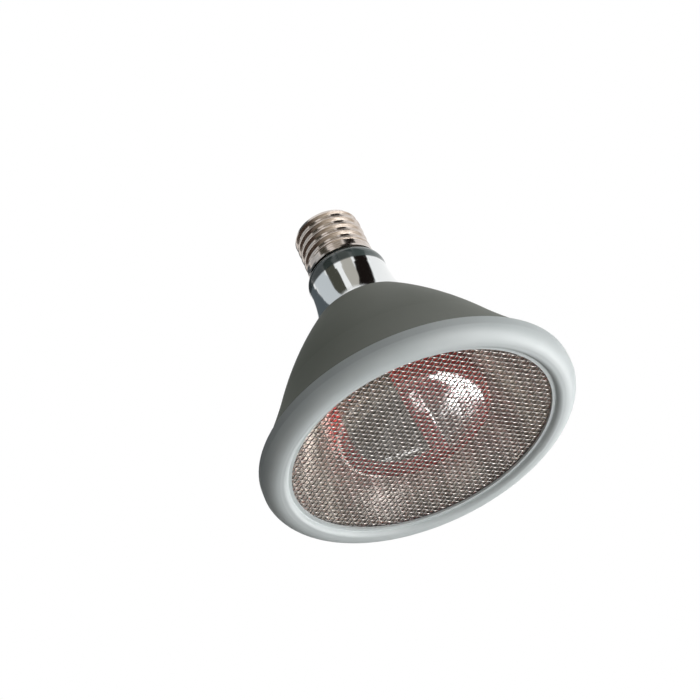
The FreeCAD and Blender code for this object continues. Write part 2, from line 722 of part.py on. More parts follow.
def make_solder():
    """Solder dot over the end of the centre wire, a shallow cap of a ball."""
    ball_r = (SOLDER_R ** 2 + SOLDER_HEIGHT ** 2) / (2 * SOLDER_HEIGHT)
    ball = Part.makeSphere(ball_r, V(0, 0, CONTACT_TOP_Z + SOLDER_HEIGHT - ball_r))
    return ball.common(Part.makeCylinder(SOLDER_R * 1.5, SOLDER_HEIGHT * 1.5, V(0, 0, CONTACT_TOP_Z)))


def build():
    """All pieces by node name, with the wires seated in the glass and cement they pass through."""
    leads = {"inner_lead_a": make_inner_lead(1), "inner_lead_b": make_inner_lead(-1)}
    outer_leads = {"lead_centre": make_outer_lead(1), "lead_side": make_outer_lead(-1)}
    step = (360 - FILAMENT_OPENING) / (SUPPORT_COUNT + 1)
    supports = {}
    for i in range(SUPPORT_COUNT):
        supports["support_wire_%d" % (i + 1)] = make_support(FILAMENT_OPENING / 2 + step * (i + 1))
    buried = list(leads.values()) + list(supports.values())
    nodes = {
        "front_rim": make_front_rim(),
        "mesh_guard": make_mesh_guard(),
        "mesh_clamp_ring": make_mesh_clamp_ring(),
        "housing_shell": make_housing(),
        "reflector": make_reflector(),
        "bonding_ring": make_bonding_ring(),
        "glass_envelope": make_glass(),
        "mirror_coat": make_film(),
        "stem_glass": make_stem().cut(buried),
        "filament": make_filament(),
        "heat_shield": make_heat_shield().cut(list(leads.values())),
        "screw_shell": make_screw_shell(),
        "cap_cement": make_cement(),
        "cap_insulator": make_insulator(),
        "centre_contact": make_contact(),
        "centre_solder": make_solder(),
    }
    nodes.update(leads)
    nodes.update(outer_leads)
    nodes.update(supports)
    return nodes


os.makedirs("parts", exist_ok=True)
for name, shape in build().items():
    shape.exportStep(os.path.join("parts", name + ".step"))
    print("%-16s solids %d valid %s volume %.1f" % (name, len(shape.Solids), shape.isValid(), shape.Volume))
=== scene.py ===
"""Infrared heat lamp bulb, face down on its front ring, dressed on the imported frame.

A red glass lamp on a screw base sits in a grey metal housing. Its front is a pressed ring with fine
wire cloth behind it. The frame's +Z runs along the lamp's axis to the base, and its origin is the
middle of the ring's rest face. Lengths in this script are millimetres unless a name says otherwise.
"""

import logging
import math
from collections.abc import Callable
from dataclasses import dataclass, field
from enum import Enum

import bpy
from mathutils import Matrix, Vector


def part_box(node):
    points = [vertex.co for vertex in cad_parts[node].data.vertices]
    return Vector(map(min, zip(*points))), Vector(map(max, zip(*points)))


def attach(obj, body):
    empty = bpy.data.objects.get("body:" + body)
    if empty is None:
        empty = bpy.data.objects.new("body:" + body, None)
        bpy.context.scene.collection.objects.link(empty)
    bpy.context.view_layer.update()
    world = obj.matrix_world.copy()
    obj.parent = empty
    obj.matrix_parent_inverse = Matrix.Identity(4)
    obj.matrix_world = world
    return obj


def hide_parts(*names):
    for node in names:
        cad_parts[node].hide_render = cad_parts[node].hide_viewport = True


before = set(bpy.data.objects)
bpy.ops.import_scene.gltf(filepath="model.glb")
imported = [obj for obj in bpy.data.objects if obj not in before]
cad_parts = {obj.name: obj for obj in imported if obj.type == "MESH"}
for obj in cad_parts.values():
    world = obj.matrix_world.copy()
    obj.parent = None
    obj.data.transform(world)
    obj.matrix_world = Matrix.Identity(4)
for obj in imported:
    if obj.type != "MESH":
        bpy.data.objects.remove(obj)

MM = 0.001
WAVE_PERIOD = math.tau / 20  # the wave texture repeats after this much of its scaled place
LOG = logging.getLogger("heat_lamp")


def linear(hex_colour: str, alpha: float = 1.0) -> tuple[float, float, float, float]:
    """Turns an sRGB hex colour into the linear values that shaders take.

    Args:
        hex_colour: Six hex digits, with or without a leading mark.
        alpha: Fourth value of the result.

    Returns:
        Red, green and blue in linear light, and alpha.
    """
    digits = hex_colour.lstrip("#")
    channels = []
    for i in (0, 2, 4):
        c = int(digits[i : i + 2], 16) / 255
        channels.append(c / 12.92 if c <= 0.04045 else ((c + 0.055) / 1.055) ** 2.4)
    return channels[0], channels[1], channels[2], alpha


def blank_tree(owner: bpy.types.ID) -> bpy.types.NodeTree:
    """Empties the node tree of a material or of the world.

    Args:
        owner: The material or the world.

    Returns:
        Its tree, without nodes.
    """
    owner.use_nodes = True
    owner.node_tree.nodes.clear()
    return owner.node_tree


def add_node(
    tree: bpy.types.NodeTree, kind: str, sockets: dict | None = None, **settings
) -> bpy.types.Node:
    """Adds a node with its settings, its values and its links.

    Args:
        tree: Node tree that gets the node.
        kind: Blender's name of the node type.
        sockets: Input name or number, with a value or with the output socket that feeds it.
        settings: Attributes of the node.

    Returns:
        The new node.
    """
    node = tree.nodes.new(kind)
    for name, value in settings.items():
        setattr(node, name, value)
    for key, value in (sockets or {}).items():
        if isinstance(value, bpy.types.NodeSocket):
            tree.links.new(value, node.inputs[key])
        else:
            node.inputs[key].default_value = value
    return node


def set_ramp(node: bpy.types.Node, stops: list[tuple[float, tuple]]) -> bpy.types.Node:
    """Gives a colour ramp its stops.

    Args:
        node: A colour ramp node.
        stops: Places from 0 to 1, each with a linear colour.

    Returns:
        The same node.
    """
    elements = node.color_ramp.elements
    while len(elements) > len(stops):
        elements.remove(elements[-1])
    while len(elements) < len(stops):
        elements.new(1.0)
    for element, (place, colour) in zip(elements, stops):
        element.position = place
        element.color = colour
    return node


def grey(value: float) -> tuple[float, float, float, float]:
    """A neutral linear colour."""
    return value, value, value, 1.0


@dataclass(frozen=True)
class Finish:
    """What every finish shares: a material, a millimetre ruler and a surface output."""

    title: str

    def start(self) -> tuple[bpy.types.Material, bpy.types.NodeTree, bpy.types.NodeSocket]:
        """Makes an empty material and the place of each point in millimetres.

        Returns:
            The material, its node tree and the socket that holds the place.
        """
        made = bpy.data.materials.new(self.title)
        tree = blank_tree(made)
        place = add_node(tree, "ShaderNodeTexCoord").outputs["Object"]
        ruler = add_node(tree, "ShaderNodeVectorMath", {0: place, "Scale": 1 / MM}, operation="SCALE")
        return made, tree, ruler.outputs[0]

    def close(self, tree: bpy.types.NodeTree, surface: bpy.types.NodeSocket) -> None:
        """Links the finished shader to the output."""
        add_node(tree, "ShaderNodeOutputMaterial", {"Surface": surface})

    def make(self) -> bpy.types.Material:
        """Builds the material."""
        raise NotImplementedError


@dataclass(frozen=True)
class Enamel(Finish):
    """Sprayed and baked enamel on sheet metal: an even colour with a faint orange peel.

    The slow noise gives the eye a coat that is a little thicker in places, the fine one the peel.
    """

    colour: str = "#808080"
    shade: str = "#707070"
    roughness: float = 0.4
    spread: float = 0.04
    peel_mm: float = 0.9
    peel_height_mm: float = 0.006
    peel_share: float = 0.5
    mottle_mm: float = 22.0
    mottle_stops: tuple[float, float] = (0.35, 0.65)
    ior: float = 1.5
    specular: float = 0.5

    def make(self) -> bpy.types.Material:
        """Builds the material."""
        made, tree, place = self.start()
        mottle = add_node(
            tree, "ShaderNodeTexNoise", {"Vector": place, "Scale": 1 / self.mottle_mm, "Detail": 3.0}
        )
        colour = set_ramp(
            add_node(tree, "ShaderNodeValToRGB", {"Fac": mottle.outputs[0]}),
            list(zip(self.mottle_stops, (linear(self.shade), linear(self.colour)))),
        )
        peel = add_node(
            tree, "ShaderNodeTexNoise", {"Vector": place, "Scale": 1 / self.peel_mm, "Detail": 2.0}
        )
        rough = add_node(
            tree,
            "ShaderNodeMapRange",
            {0: peel.outputs[0], 3: self.roughness - self.spread, 4: self.roughness + self.spread},
        )
        bump = add_node(
            tree,
            "ShaderNodeBump",
            {
                "Height": peel.outputs[0],
                "Strength": self.peel_share,
                "Distance": self.peel_height_mm * MM,
            },
        )
        shader = add_node(
            tree,
            "ShaderNodeBsdfPrincipled",
            {
                "Base Color": colour.outputs[0],
                "Roughness": rough.outputs[0],
                "Normal": bump.outputs[0],
                "IOR": self.ior,
                "Specular IOR Level": self.specular,
            },
        )
        self.close(tree, shader.outputs[0])
        return made


@dataclass(frozen=True)
class BareMetal(Finish):
    """Bare or plated metal with fine marks of how it was worked.

    They break up the gloss as on the real piece. Real marks are too fine to show, so they are drawn
    0.6 mm wide, and on the rolled shell they run around it.
    """

    colour: str = "#b0b0b0"
    dark: str = "#8a8a8a"
    roughness: float = 0.25
    spread: float = 0.08
    grain_mm: tuple[float, float, float] = (0.6, 0.6, 0.6)
    grain_stops: tuple[float, float] = (0.35, 0.6)
    bump_mm: float = 0.002
    bump_share: float = 0.6

    def make(self) -> bpy.types.Material:
        """Builds the material."""
        made, tree, place = self.start()
        scale = tuple(1 / size for size in self.grain_mm)
        grain_place = add_node(tree, "ShaderNodeVectorMath", {0: place, 1: scale}, operation="MULTIPLY")
        grain = add_node(
            tree, "ShaderNodeTexNoise", {"Vector": grain_place.outputs[0], "Scale": 1.0, "Detail": 4.0}
        )
        colour = set_ramp(
            add_node(tree, "ShaderNodeValToRGB", {"Fac": grain.outputs[0]}),
            list(zip(self.grain_stops, (linear(self.dark), linear(self.colour)))),
        )
        rough = add_node(
            tree,
            "ShaderNodeMapRange",
            {0: grain.outputs[0], 3: self.roughness - self.spread, 4: self.roughness + self.spread},
        )
        bump = add_node(
            tree,
            "ShaderNodeBump",
            {
                "Height": grain.outputs[0],
                "Strength": self.bump_share,
                "Distance": self.bump_mm * MM,
            },
        )
        shader = add_node(
            tree,
            "ShaderNodeBsdfPrincipled",
            {
                "Base Color": colour.outputs[0],
                "Roughness": rough.outputs[0],
                "Normal": bump.outputs[0],
                "Metallic": 1.0,
            },
        )
        self.close(tree, shader.outputs[0])
        return made


@dataclass(frozen=True)
class PaintedGlintWire(Finish):
    """Woven stainless wire with painted highlights on its crowns and painted shade in its dips.

    The height of each point in the cloth sets its tone: light on the crowns stands in for their glints,
    dark in the dips for the shade between the wires, so the eye reads rows of small bright dots.
    """

    crown_highlight: str = "#c2b9af"
    dip_shade: str = "#2b2723"
    crown_z: float = 2.35
    dip_z: float = 2.52
    grain_mm: float = 0.5
    grain_share: float = 0.25
    metal: float = 0.1
    roughness: float = 0.5
    specular: float = 0.3

    def make(self) -> bpy.types.Material:
        """Builds the material."""
        made, tree, place = self.start()
        height = add_node(tree, "ShaderNodeSeparateXYZ", {0: place}).outputs[2]
        crown_highlight = add_node(tree, "ShaderNodeMapRange", {0: height, 1: self.dip_z, 2: self.crown_z})
        grain = add_node(tree, "ShaderNodeTexNoise", {"Vector": place, "Scale": 1 / self.grain_mm})
        spread = add_node(
            tree,
            "ShaderNodeMapRange",
            {0: grain.outputs[0], 3: -self.grain_share / 2, 4: self.grain_share / 2},
        )
        share = add_node(
            tree,
            "ShaderNodeMath",
            {0: crown_highlight.outputs[0], 1: spread.outputs[0]},
            operation="ADD",
            use_clamp=True,
        )
        # Painted highlight and shade: the crown colour stands in for glints, the dip colour for shade
        # between wires.
        colour = add_node(
            tree,
            "ShaderNodeMix",
            {"Factor": share.outputs[0], "A": linear(self.dip_shade), "B": linear(self.crown_highlight)},
            data_type="RGBA",
        )
        shader = add_node(
            tree,
            "ShaderNodeBsdfPrincipled",
            {
                "Base Color": colour.outputs["Result"],
                "Metallic": self.metal,
                "Roughness": self.roughness,
                "Specular IOR Level": self.specular,
            },
        )
        self.close(tree, shader.outputs[0])
        return made


@dataclass(frozen=True)
class SpunMirror(Finish):
    """Aluminium spun into a bowl and satin polished: faint rings and soft streaks that run to the rear.

    The streaks in the colour are partly polishing marks and partly painted reflection of bright streaks.
    The satin scatters part of the light, so the bowl glows evenly between its streaks.
    """

    colour: str = "#efe9e1"
    dark: str = "#9a938a"
    roughness: float = 0.13
    polish: float = 0.4
    ring_mm: float = 0.50265
    ring_wobble: float = 1.5
    ring_height_mm: float = 0.02
    ring_share: float = 0.35
    streaks: float = 9.0
    streak_along: float = 0.04
    streak_stops: tuple[float, float] = (0.3, 0.7)

    def make(self) -> bpy.types.Material:
        """Builds the material."""
        made, tree, place = self.start()
        split = add_node(tree, "ShaderNodeSeparateXYZ", {0: place})
        angle = add_node(
            tree, "ShaderNodeMath", {0: split.outputs[1], 1: split.outputs[0]}, operation="ARCTAN2"
        )
        turn = add_node(
            tree, "ShaderNodeMath", {0: angle.outputs[0], 1: self.streaks}, operation="MULTIPLY"
        )
        along = add_node(
            tree, "ShaderNodeMath", {0: split.outputs[2], 1: self.streak_along}, operation="MULTIPLY"
        )
        drawn = add_node(tree, "ShaderNodeCombineXYZ", {0: turn.outputs[0], 2: along.outputs[0]})
        streak = add_node(
            tree, "ShaderNodeTexNoise", {"Vector": drawn.outputs[0], "Scale": 1.0, "Detail": 3.0}
        )
        # Partly painted reflection: the light streaks in the colour stand in for bright streaks mirrored in
        # the bowl.
        colour = set_ramp(
            add_node(tree, "ShaderNodeValToRGB", {"Fac": streak.outputs[0]}),
            list(zip(self.streak_stops, (linear(self.dark), linear(self.colour)))),
        )
        rings = add_node(
            tree,
            "ShaderNodeTexWave",
            {
                "Vector": place,
                "Scale": WAVE_PERIOD / self.ring_mm,
                "Distortion": self.ring_wobble,
                "Detail": 2.0,
            },
            wave_type="BANDS",
            bands_direction="Z",
        )
        bump = add_node(
            tree,
            "ShaderNodeBump",
            {
                "Height": rings.outputs["Fac"],
                "Strength": self.ring_share,
                "Distance": self.ring_height_mm * MM,
            },
        )
        shader = add_node(
            tree,
            "ShaderNodeBsdfPrincipled",
            {
                "Base Color": colour.outputs[0],
                "Metallic": self.polish,
                "Roughness": self.roughness,
                "Normal": bump.outputs[0],
            },
        )
        self.close(tree, shader.outputs[0])
        return made


@dataclass(frozen=True)
class LampGlass(Finish):
    """Blown glass in one piece: ruby lustre in front, silvered behind, clear at the shoulder.

    A thin wall hardly bends what lies behind it, so it passes light straight through with a tint.
    The fired lustre is deep along the bulb's edge and thin in a clear patch. A deep band along one line
    is painted shade, and the split between the redder side and the clear patch is painted reflection.
    Its high index gives the strong white glints that the eye knows from lacquered glass.
    """

    ruby: str = "#a03336"
    ruby_body: str = "#c4534f"
    haze: str = "#b3a89c"
    pale: str = "#c8beb4"
    smoke: str = "#59635f"
    smoke_bloom: str = "#6f7d7b"
    silver: str = "#e3e6e6"
    lustre_ior: float = 1.8
    lustre_edge_mm: float = 0.3
    gloss: float = 0.06
    silver_gloss: float = 0.07
    silver_coat_gloss: float = 0.03
    glass_ior: float = 1.5
    painted_band_x: float = 4.0
    painted_band_lean: float = 0.08
    painted_band_half: float = 3.2
    painted_edge_blur: float = 0.5
    clear_middle: tuple[float, float] = (-4.5, -8.0)
    clear_radius: float = 18.7
    clear_blur: float = 0.8
    thin_share: float = 0.06
    side_share: float = 0.36
    side_from: float = 12.0
    side_to: float = 26.0
    body_share: float = 0.85
    haze_share: float = 0.4
    bloom_share: float = 0.55
    silver_front: tuple[float, float] = (18.8, 19.4)
    ruby_end: tuple[float, float] = (48.0, 56.0)
    silver_end: tuple[float, float] = (79.9, 80.9)

    def painted_band_offset(
        self, tree: bpy.types.NodeTree, x: bpy.types.NodeSocket, y: bpy.types.NodeSocket
    ) -> bpy.types.NodeSocket:
        """Signed distance from the line of the painted band and side split, in millimetres."""
        lean = add_node(
            tree, "ShaderNodeMath", {0: y, 1: self.painted_band_lean, 2: self.painted_band_x}, operation="MULTIPLY_ADD"
        )
        beside = add_node(tree, "ShaderNodeMath", {0: x, 1: lean.outputs[0]}, operation="SUBTRACT")
        return beside.outputs[0]

    def tint_and_painted_light(
        self, tree: bpy.types.NodeTree, x: bpy.types.NodeSocket, y: bpy.types.NodeSocket
    ) -> bpy.types.NodeSocket:
        """Depth of the lustre from 0 to 1, with painted shade in a band and painted reflection in a side
        split.

        Args:
            tree: Node tree of the glass.
            x: Place along the frame's X, in millimetres.
            y: Place along the frame's Y, in millimetres.

        Returns:
            The socket that holds the depth.
        """
        from_x = add_node(tree, "ShaderNodeMath", {0: x, 1: self.clear_middle[0]}, operation="SUBTRACT")
        from_y = add_node(tree, "ShaderNodeMath", {0: y, 1: self.clear_middle[1]}, operation="SUBTRACT")
        past = add_node(tree, "ShaderNodeMath", {0: from_y.outputs[0], 1: 0.0}, operation="MAXIMUM")
        reach = add_node(tree, "ShaderNodeCombineXYZ", {0: from_x.outputs[0], 1: past.outputs[0]})
        away = add_node(tree, "ShaderNodeVectorMath", {0: reach.outputs[0]}, operation="LENGTH")
        limb = add_node(
            tree,
            "ShaderNodeMapRange",
            {
                0: away.outputs["Value"],
                1: self.clear_radius - self.clear_blur,
                2: self.clear_radius + self.clear_blur,
            },
            interpolation_type="SMOOTHSTEP",
        )
        beside = self.painted_band_offset(tree, x, y)
        off = add_node(tree, "ShaderNodeMath", {0: beside}, operation="ABSOLUTE")
        # Painted shade: the deepest tint along one band across the bulb.
        line = add_node(
            tree,
            "ShaderNodeMapRange",
            {
                0: off.outputs[0],
                1: self.painted_band_half - self.painted_edge_blur,
                2: self.painted_band_half + self.painted_edge_blur,
                3: 1.0,
                4: 0.0,
            },
            interpolation_type="SMOOTHSTEP",
        )
        # Painted reflection: the side beyond the band gets the redder tint, the other keeps the clear
        # patch.
        right = add_node(
            tree,
            "ShaderNodeMapRange",
            {0: beside, 1: -self.painted_edge_blur, 2: self.painted_edge_blur},
            interpolation_type="SMOOTHSTEP",
        )
        flat = add_node(tree, "ShaderNodeCombineXYZ", {0: x, 1: y})
        radius = add_node(tree, "ShaderNodeVectorMath", {0: flat.outputs[0]}, operation="LENGTH")
        deeper = add_node(
            tree,
            "ShaderNodeMapRange",
            {0: radius.outputs["Value"], 1: self.side_from, 2: self.side_to, 3: self.side_share, 4: 1.0},
            interpolation_type="SMOOTHSTEP",
        )
        rim = add_node(
            tree,
            "ShaderNodeMix",
            {0: right.outputs[0], 2: limb.outputs[0], 3: deeper.outputs[0]},
            data_type="FLOAT",
        )
        depth = rim.outputs[0]
        for least in (line.outputs[0], self.thin_share):
            depth = add_node(tree, "ShaderNodeMath", {0: depth, 1: least}, operation="MAXIMUM").outputs[0]
        return depth

    def make(self) -> bpy.types.Material:
        """Builds the material."""
        made, tree, place = self.start()
        split = add_node(tree, "ShaderNodeSeparateXYZ", {0: place})
        x, y, z = split.outputs[0], split.outputs[1], split.outputs[2]
        tint_and_painted_light = self.tint_and_painted_light(tree, x, y)
        tint = add_node(
            tree,
            "ShaderNodeMix",
            {"Factor": tint_and_painted_light, "A": linear(self.pale), "B": linear(self.ruby)},
            data_type="RGBA",
        )
        through = add_node(tree, "ShaderNodeBsdfTransparent", {0: tint.outputs["Result"]})
        milky = add_node(
            tree,
            "ShaderNodeMix",
            {"Factor": tint_and_painted_light, "A": linear(self.haze), "B": linear(self.ruby_body)},
            data_type="RGBA",
        )
        glow = add_node(tree, "ShaderNodeBsdfDiffuse", {0: milky.outputs["Result"]})
        body = add_node(tree, "ShaderNodeMapRange", {0: tint_and_painted_light, 3: self.haze_share, 4: self.body_share})
        stained = add_node(
            tree, "ShaderNodeMixShader", {0: body.outputs[0], 1: through.outputs[0], 2: glow.outputs[0]}
        )
        edge = add_node(tree, "ShaderNodeBump", {"Height": tint_and_painted_light, "Distance": self.lustre_edge_mm * MM})
        shine = add_node(
            tree,
            "ShaderNodeBsdfGlossy",
            {0: grey(1.0), "Roughness": self.gloss, "Normal": edge.outputs[0]},
        )
        lustre = add_node(tree, "ShaderNodeFresnel", {"IOR": self.lustre_ior})
        front = add_node(
            tree, "ShaderNodeMixShader", {0: lustre.outputs[0], 1: stained.outputs[0], 2: shine.outputs[0]}
        )
        steps = []
        for low, high in (self.ruby_end, self.silver_front, self.silver_end):
            step = add_node(
                tree, "ShaderNodeMapRange", {0: z, 1: low, 2: high}, interpolation_type="SMOOTHSTEP"
            )
            steps.append(step.outputs[0])
        past_ruby, is_silver, is_clear = steps
        silver_tint = add_node(
            tree,
            "ShaderNodeMix",
            {"Factor": past_ruby, "A": linear(self.ruby), "B": linear(self.silver)},
            data_type="RGBA",
        )
        mirror = add_node(
            tree,
            "ShaderNodeBsdfPrincipled",
            {
                "Base Color": silver_tint.outputs["Result"],
                "Metallic": 1.0,
                "Roughness": self.silver_gloss,
                "Coat Weight": 1.0,
                "Coat Roughness": self.silver_coat_gloss,
            },
        )
        plain = add_node(tree, "ShaderNodeFresnel", {"IOR": self.glass_ior})
        seen_through = add_node(tree, "ShaderNodeBsdfTransparent", {0: linear(self.smoke)})
        bloom = add_node(tree, "ShaderNodeBsdfDiffuse", {0: linear(self.smoke_bloom)})
        smoky = add_node(
            tree,
            "ShaderNodeMixShader",
            {0: self.bloom_share, 1: seen_through.outputs[0], 2: bloom.outputs[0]},
        )
        clear = add_node(
            tree, "ShaderNodeMixShader", {0: plain.outputs[0], 1: smoky.outputs[0], 2: shine.outputs[0]}
        )
        rear = add_node(
            tree, "ShaderNodeMixShader", {0: is_clear, 1: mirror.outputs[0], 2: clear.outputs[0]}
        )
        whole = add_node(
            tree, "ShaderNodeMixShader", {0: is_silver, 1: front.outputs[0], 2: rear.outputs[0]}
        )
        self.close(tree, whole.outputs[0])
        return made


@dataclass(frozen=True)
class ThinGlass(Finish):
    """Clear drawn glass tube and press, slightly green to look through and bright along its edges."""

    tint: str = "#d8e4de"
    gloss: float = 0.02
    ior: float = 1.55

    def make(self) -> bpy.types.Material:
        """Builds the material."""
        made, tree, _ = self.start()
        through = add_node(tree, "ShaderNodeBsdfTransparent", {0: linear(self.tint)})
        shine = add_node(tree, "ShaderNodeBsdfGlossy", {0: grey(1.0), "Roughness": self.gloss})
        fresnel = add_node(tree, "ShaderNodeFresnel", {"IOR": self.ior})
        mixed = add_node(
            tree, "ShaderNodeMixShader", {0: fresnel.outputs[0], 1: through.outputs[0], 2: shine.outputs[0]}
        )
        self.close(tree, mixed.outputs[0])
        return made


@dataclass(frozen=True)
class Fired(Finish):
    """Fired cement or pressed black glass: mineral, with grains in the colour and the surface."""

    colour: str = "#8a8378"
    dark: str = "#6b655c"
    roughness: float = 0.8
    grain_mm: float = 0.35
    grain_stops: tuple[float, float] = (0.4, 0.6)
    bump_mm: float = 0.05
    bump_share: float = 0.6
    ior: float = 1.52

    def make(self) -> bpy.types.Material:
        """Builds the material."""
        made, tree, place = self.start()
        grain = add_node(
            tree, "ShaderNodeTexNoise", {"Vector": place, "Scale": 1 / self.grain_mm, "Detail": 5.0}
        )
        colour = set_ramp(
            add_node(tree, "ShaderNodeValToRGB", {"Fac": grain.outputs[0]}),
            list(zip(self.grain_stops, (linear(self.dark), linear(self.colour)))),
        )
        bump = add_node(
            tree,
            "ShaderNodeBump",
            {
                "Height": grain.outputs[0],
                "Strength": self.bump_share,
                "Distance": self.bump_mm * MM,
            },
        )
        shader = add_node(
            tree,
            "ShaderNodeBsdfPrincipled",
            {
                "Base Color": colour.outputs[0],
                "Roughness": self.roughness,
                "Normal": bump.outputs[0],
                "IOR": self.ior,
            },
        )
        self.close(tree, shader.outputs[0])
        return made


FinishTable = tuple[tuple[Finish, tuple[str, ...]], ...]  # each finish with the nodes that get it


def clear_selection() -> None:
    """Leaves edit mode and deselects every object."""
    if bpy.context.object is not None and bpy.context.object.mode != "OBJECT":
        bpy.ops.object.mode_set(mode="OBJECT")
    bpy.ops.object.select_all(action="DESELECT")


def select_where(piece: bpy.types.Object, test: Callable[[Vector], bool]) -> None:
    """Selects the vertices of a piece that pass a test, and enters edit mode.

    Args:
        piece: Mesh object, active and selected.
        test: Function of a vertex's place in metres that says whether it is taken.
    """
    bpy.ops.object.mode_set(mode="EDIT")
    bpy.ops.mesh.select_mode(type="VERT")
    bpy.ops.mesh.select_all(action="DESELECT")
    bpy.ops.object.mode_set(mode="OBJECT")
    for vertex in piece.data.vertices:
        vertex.select = test(vertex.co)
    bpy.ops.object.mode_set(mode="EDIT")


def apply_array(
    piece: bpy.types.Object, count: int, offset: tuple[float, float, float], weld: float = 0.0
) -> None:
    """Repeats a piece along a line and applies the result.

    Args:
        piece: Mesh object, active.
        count: Number of copies.
        offset: Step from one copy to the next, in metres.
        weld: Distance within which the copies' ends are joined, in metres, or 0.
    """
    rule = piece.modifiers.new("repeat", "ARRAY")
    rule.count = count
    rule.use_relative_offset = False
    rule.use_constant_offset = True
    rule.constant_offset_displace = offset
    if weld > 0:
        rule.use_merge_vertices = True
        rule.merge_threshold = weld
    bpy.ops.object.modifier_apply(modifier=rule.name)


@dataclass
class Assembly:
    """Nodes of the frame that keep their shape and get a finish."""

    finishes: FinishTable

    def build(self) -> None:
        """Gives each node its material."""
        for finish, nodes in self.finishes:
            for node in nodes:
                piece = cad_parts[node]
                piece.data.materials.clear()
                piece.data.materials.append(finish.make())
                LOG.info("dressed %s with %s", node, finish.title)


@dataclass
class WireCloth:
    """Plain-woven wire cloth behind the ledge of the front ring.

    The clamp presses it to half its height outside the seat radii, in two steps of equal share.
    """

    pitch: float = 2.08
    wire_radius: float = 0.22
    weld_share: float = 0.1
    sides: int = 6
    trim_radius: float = 54.0
    seat_radii: tuple[float, float] = (50.0, 49.1)
    seat_squeeze: float = 0.5
    turn_deg: float = 47.0
    node: str = "mesh_guard"
    finish: Finish = PaintedGlintWire("woven_stainless_wire")

    def wave(self) -> bpy.types.Object:
        """Models one over and under of a wire.

        Returns:
            An open tube along X, two pitches long, up in the middle and down at both ends.
        """
        clear_selection()
        pitch = self.pitch * MM
        lift = self.wire_radius * MM
        bpy.ops.mesh.primitive_cylinder_add(
            vertices=self.sides,
            radius=lift,
            depth=2 * pitch,
            end_fill_type="NOTHING",
            rotation=(0, math.pi / 2, 0),
        )
        piece = bpy.context.object
        bpy.ops.object.transform_apply(location=False, rotation=True, scale=False)
        bpy.ops.object.mode_set(mode="EDIT")
        for place in (-pitch / 2, 0.0, pitch / 2):
            bpy.ops.mesh.select_all(action="SELECT")
            bpy.ops.mesh.bisect(plane_co=(place, 0, 0), plane_no=(1, 0, 0))
        bpy.ops.object.mode_set(mode="OBJECT")
        select_where(piece, lambda co: abs(co.x) < pitch / 4)
        bpy.ops.transform.translate(value=(0, 0, lift))
        select_where(piece, lambda co: abs(co.x) > pitch * 3 / 4)
        bpy.ops.transform.translate(value=(0, 0, -lift))
        bpy.ops.object.mode_set(mode="OBJECT")
        return piece

    def warp(self) -> bpy.types.Object:
        """Repeats the wave into straight wires side by side, each out of step with its neighbours.

        Returns:
            A square of wires along X, wider than the cloth.
        """
        piece = self.wave()
        pitch = self.pitch * MM
        half = math.ceil(self.trim_radius / self.pitch / 2) + 1
        count = 2 * half + 1
        apply_array(piece, count, (2 * pitch, 0, 0), self.weld_share * self.wire_radius * MM)
        bpy.ops.object.duplicate()
        neighbour = bpy.context.object
        bpy.ops.transform.translate(value=(pitch, pitch, 0))
        bpy.ops.object.transform_apply(location=True, rotation=False, scale=False)
        piece.select_set(True)
        neighbour.select_set(True)
        bpy.context.view_layer.objects.active = piece
        bpy.ops.object.join()
        apply_array(piece, count, (0, 2 * pitch, 0))
        bpy.ops.transform.translate(value=(-2 * half * pitch, -2 * half * pitch, 0))
        bpy.ops.object.transform_apply(location=True, rotation=False, scale=False)
        return piece

    def build(self) -> None:
        """Weaves both directions, trims the cloth round and lays it in its seat."""
        piece = self.warp()
        bpy.ops.object.duplicate()
        weft = bpy.context.object
        step = Matrix.Translation((0, self.pitch * MM, 0))
        weft.matrix_world = step @ Matrix.Rotation(math.pi / 2, 4, "Z")
        bpy.ops.object.transform_apply(location=True, rotation=True, scale=False)
        piece.select_set(True)
        bpy.context.view_layer.objects.active = piece
        bpy.ops.object.join()
        trim = self.trim_radius * MM
        select_where(piece, lambda co: math.hypot(co.x, co.y) > trim)
        bpy.ops.mesh.delete(type="VERT")
        factor = math.sqrt(self.seat_squeeze)
        for radius in self.seat_radii:
            select_where(piece, lambda co: math.hypot(co.x, co.y) > radius * MM)
            bpy.ops.transform.resize(value=(1, 1, factor), center_override=(0, 0, 0))
        bpy.ops.mesh.select_all(action="SELECT")
        bpy.ops.mesh.fill_holes(sides=self.sides)
        bpy.ops.mesh.normals_make_consistent(inside=False)
        bpy.ops.object.mode_set(mode="OBJECT")
        low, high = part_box(self.node)
        seat = Matrix.Translation((0, 0, (low.z + high.z) / 2))
        piece.matrix_world = seat @ Matrix.Rotation(math.radians(self.turn_deg), 4, "Z")
        bpy.ops.object.transform_apply(location=True, rotation=True, scale=False)
        bpy.ops.object.shade_smooth()
        piece.name = "wire_cloth"
        piece.data.materials.append(self.finish.make())
        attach(piece, "root")
        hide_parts(self.node)
        LOG.info("wire_cloth: %d faces", len(piece.data.polygons))


@dataclass
class FrontRing(Assembly):
    """Pressed ring, wire cloth and the ring that clamps it."""

    finishes: FinishTable = (
        (
            Enamel(
                "satin_baked_enamel",
                colour="#c6cccc",
                shade="#bfc6c6",
                roughness=0.5,
                specular=0.08,
                peel_mm=0.8,
            ),
            ("front_rim",),
        ),
        (
            BareMetal("zinc_plated_steel", colour="#8d8f90", dark="#6d6f70", roughness=0.4),
            ("mesh_clamp_ring",),
        ),
    )
    cloth: WireCloth = field(default_factory=WireCloth)

    def build(self) -> None:
        """Dresses the two rings and weaves the cloth."""
        super().build()
        self.cloth.build()


